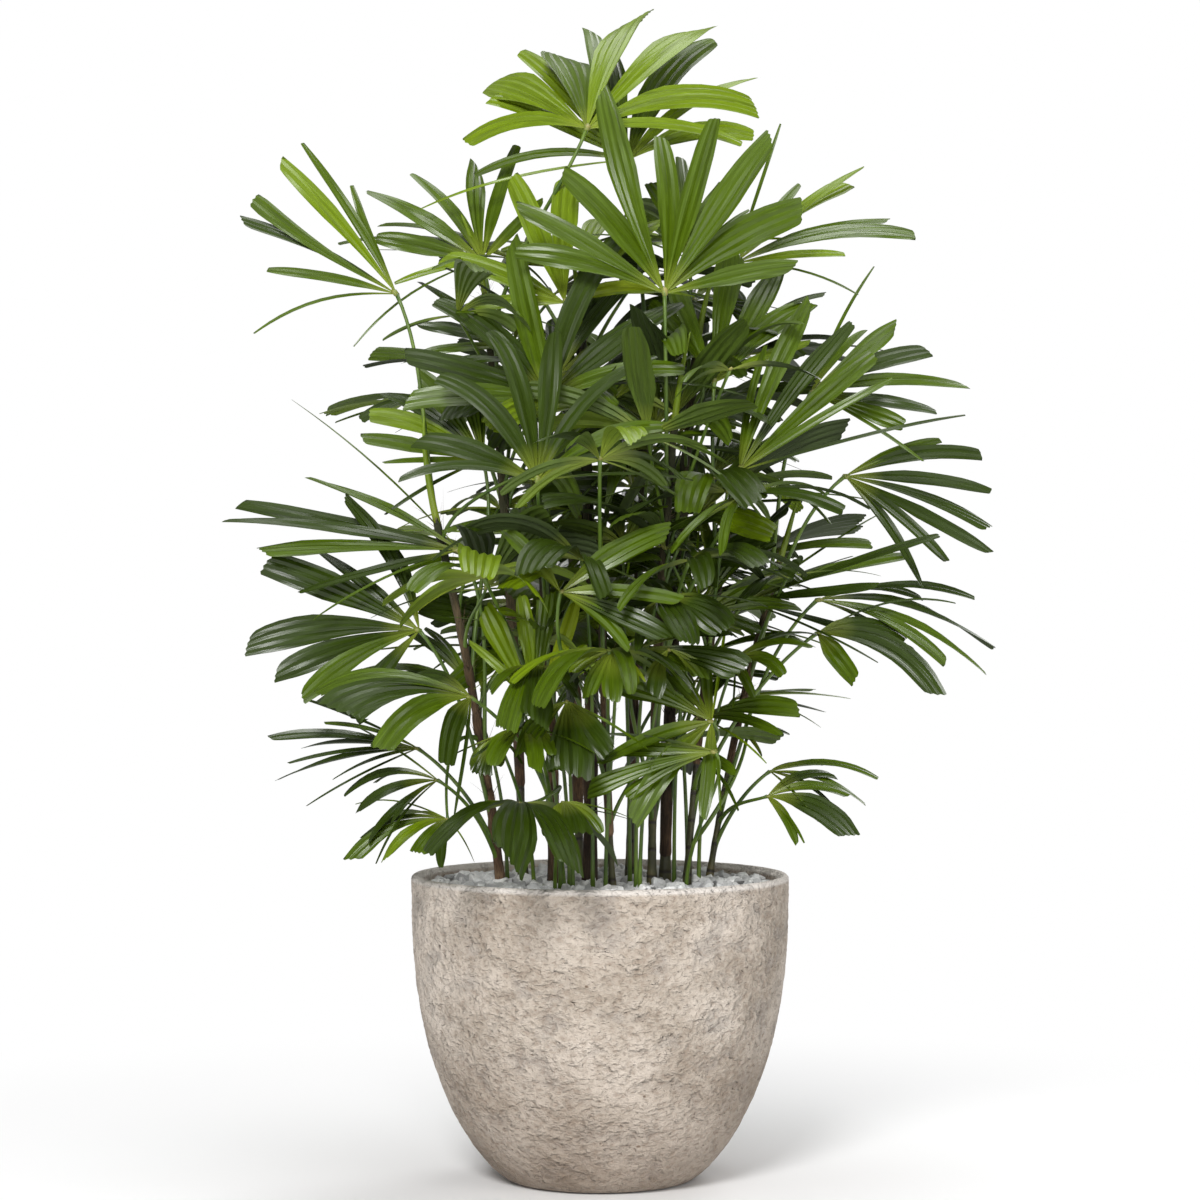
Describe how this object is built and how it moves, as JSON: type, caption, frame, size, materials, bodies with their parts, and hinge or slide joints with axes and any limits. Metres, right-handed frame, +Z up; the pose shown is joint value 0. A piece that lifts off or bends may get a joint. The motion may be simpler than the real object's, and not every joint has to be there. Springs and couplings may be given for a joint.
{
  "type": "potted lady palm",
  "caption": "Lady palm in a round stone-look planter: a clump of slender fibrous canes with stalked, fan-shaped, deeply cut fronds over a pebble-topped pot.",
  "frame": {"origin": "centre of the pot's flat underside", "axes": "+Z up, -Y towards the side the plant is seen from, +X to that viewer's right"},
  "size_m": [0.8693, 0.8104, 1.355],
  "materials": {
    "pot": "rough, matt, taupe stone-look fibre clay with a paler worn lip",
    "soil": "dark moist potting mix",
    "pebbles": "matt pale grey crushed stone",
    "cane": "matt, wrapped in brown fibre",
    "frond": "leathery, semi-gloss green"
  },
  "bodies": {
    "root": {"pot": "pot", "soil": "soil", "pebble_bed": "pebbles", "cane_01": "cane", "cane_02": "cane", "cane_03": "cane", "cane_04": "cane", "cane_05": "cane", "cane_06": "cane", "cane_07": "cane", "cane_08": "cane", "cane_09": "cane", "cane_10": "cane", "cane_11": "cane", "frond_01": "frond", "frond_02": "frond", "frond_03": "frond", "frond_04": "frond", "frond_05": "frond", "frond_06": "frond", "frond_07": "frond", "frond_08": "frond", "frond_09": "frond", "frond_10": "frond", "frond_11": "frond", "frond_12": "frond", "frond_13": "frond", "frond_14": "frond", "frond_15": "frond", "frond_16": "frond", "frond_17": "frond", "frond_18": "frond", "frond_19": "frond", "frond_20": "frond", "frond_21": "frond", "frond_22": "frond", "frond_23": "frond", "frond_24": "frond", "frond_25": "frond", "frond_26": "frond", "frond_27": "frond", "frond_28": "frond", "frond_29": "frond", "frond_30": "frond", "frond_31": "frond", "frond_32": "frond", "frond_33": "frond", "frond_34": "frond", "frond_35": "frond", "frond_36": "frond", "frond_37": "frond", "frond_38": "frond", "frond_39": "frond", "frond_40": "frond", "back_fronds_1": "frond", "back_fronds_2": "frond", "back_fronds_3": "frond", "back_fronds_4": "frond", "back_fronds_5": "frond", "back_fronds_6": "frond"}
  },
  "joints": []
}
